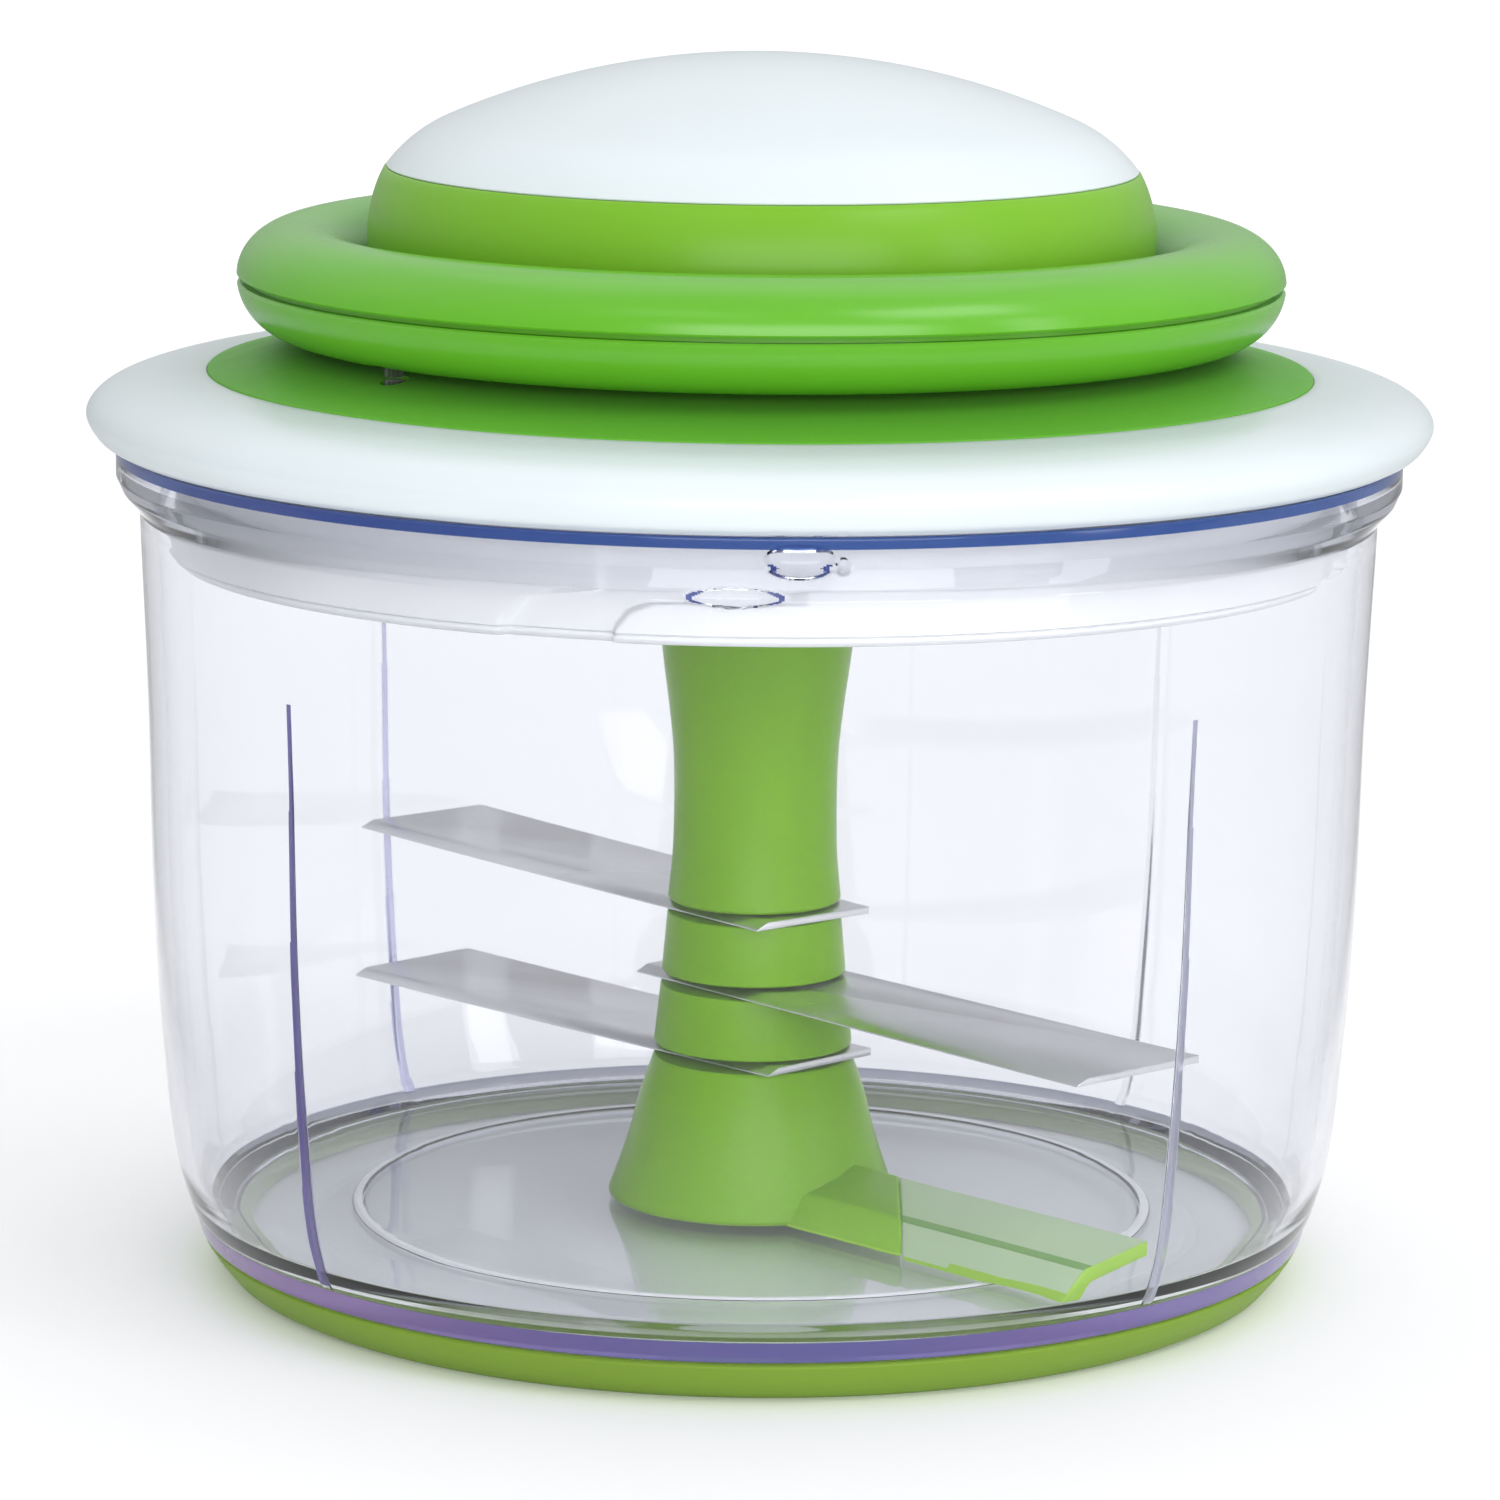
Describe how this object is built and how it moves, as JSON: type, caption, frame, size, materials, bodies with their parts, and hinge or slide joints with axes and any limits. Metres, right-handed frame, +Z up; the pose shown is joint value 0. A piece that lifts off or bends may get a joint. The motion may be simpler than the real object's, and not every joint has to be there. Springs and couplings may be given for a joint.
{
  "type": "pull-cord food chopper",
  "caption": "Hand-pulled food chopper: clear ribbed bowl on a green base, bayonet lid with a domed spring drum and pull ring, and a bladed column with a scraper arm.",
  "frame": {"origin": "centre of the round base where it meets the table", "axes": "+Z up along the blade column, -Y towards the front, +X to the right seen from the front"},
  "size_m": [0.145, 0.145, 0.1329],
  "materials": {
    "white_plastic": "satin white ABS",
    "green_plastic": "satin lime green ABS",
    "green_inlay": "soft matt green",
    "green_column": "satin green polypropylene",
    "green_grip": "soft green elastomer",
    "pale_plate": "pale grey-white plastic",
    "clear_plastic": "clear SAN with a faint violet tint at its edges",
    "translucent_green": "translucent pale green plastic",
    "steel": "brushed stainless steel",
    "silicone": "translucent white silicone",
    "nylon": "natural nylon",
    "bronze": "sintered bronze",
    "cord": "braided polyester cord, dark green"
  },
  "bodies": {
    "base": {"base_grip_ring": "green_grip", "base_plate": "pale_plate"},
    "bowl": {"bowl": "clear_plastic", "pivot_pin": "steel"},
    "seal": {"lid_seal": "silicone"},
    "lid": {"lid_cover": "white_plastic", "lid_inlay": "green_inlay", "lid_skirt": "white_plastic", "dome_band": "green_plastic", "dome_cap": "white_plastic", "cord_guide": "steel", "centre_axle": "steel", "axle_clip": "steel", "drive_bush": "bronze", "spring_housing": "nylon", "return_spring": "steel", "cord_lead": "cord", "skirt_screw_1": "steel", "skirt_screw_2": "steel", "skirt_screw_3": "steel", "skirt_screw_4": "steel", "band_screw_1": "steel", "band_screw_2": "steel", "band_screw_3": "steel", "housing_screw_1": "steel", "housing_screw_2": "steel", "housing_screw_3": "steel"},
    "drum": {"cord_drum": "nylon", "drum_flange": "nylon", "cord_winding": "cord", "pawl_pin_1": "steel", "pawl_pin_2": "steel"},
    "pawl_a": {"pawl_1": "steel"},
    "pawl_b": {"pawl_2": "steel"},
    "blade_unit": {"drive_cup": "nylon", "column_top": "green_column", "column_spacer_upper": "green_column", "column_spacer_lower": "green_column", "column_base": "green_column", "column_core": "steel", "blade_upper": "steel", "blade_middle": "steel", "blade_lower": "steel", "scraper_arm": "translucent_green"},
    "pull_ring": {"ring_upper_shell": "green_plastic", "ring_lower_shell": "green_plastic", "cord_riser": "cord", "cord_knot": "cord"}
  },
  "joints": [
    {"name": "bowl_off_base", "type": "slide", "parent": "base", "child": "bowl", "axis": [0, 0, 1], "range_m": [0, 0.03]},
    {"name": "lid_lift", "type": "slide", "parent": "bowl", "child": "seal", "axis": [0, 0, 1], "range_m": [0, 0.12]},
    {"name": "lid_turn", "type": "hinge", "parent": "seal", "child": "lid", "pos_m": [0, 0, 0.09], "axis": [0, 0, 1], "range_deg": [0, 16]},
    {"name": "ring_pull", "type": "slide", "parent": "lid", "child": "pull_ring", "axis": [0, 0, 1], "range_m": [0, 0.3], "stiffness_N_per_m": 16, "springref_m": -0.3},
    {"name": "drum_spin", "type": "hinge", "parent": "lid", "child": "drum", "pos_m": [0, 0, 0.09], "axis": [0, 0, 1], "range_deg": [0, 1043]},
    {"name": "blade_spin", "type": "hinge", "parent": "lid", "child": "blade_unit", "pos_m": [0, 0, 0.05], "axis": [0, 0, 1], "range_deg": [0, 1043]},
    {"name": "pawl_1_pivot", "type": "hinge", "parent": "drum", "child": "pawl_a", "pos_m": [0.014, 0, 0.086], "axis": [0, 0, 1], "range_deg": [0, 18]},
    {"name": "pawl_2_pivot", "type": "hinge", "parent": "drum", "child": "pawl_b", "pos_m": [-0.014, 0, 0.086], "axis": [0, 0, 1], "range_deg": [0, 18]}
  ],
  "couplings": [
    {"joint": "drum_spin", "follows": "ring_pull", "rad_per_m": 60.606},
    {"joint": "blade_spin", "follows": "ring_pull", "rad_per_m": 60.606}
  ]
}
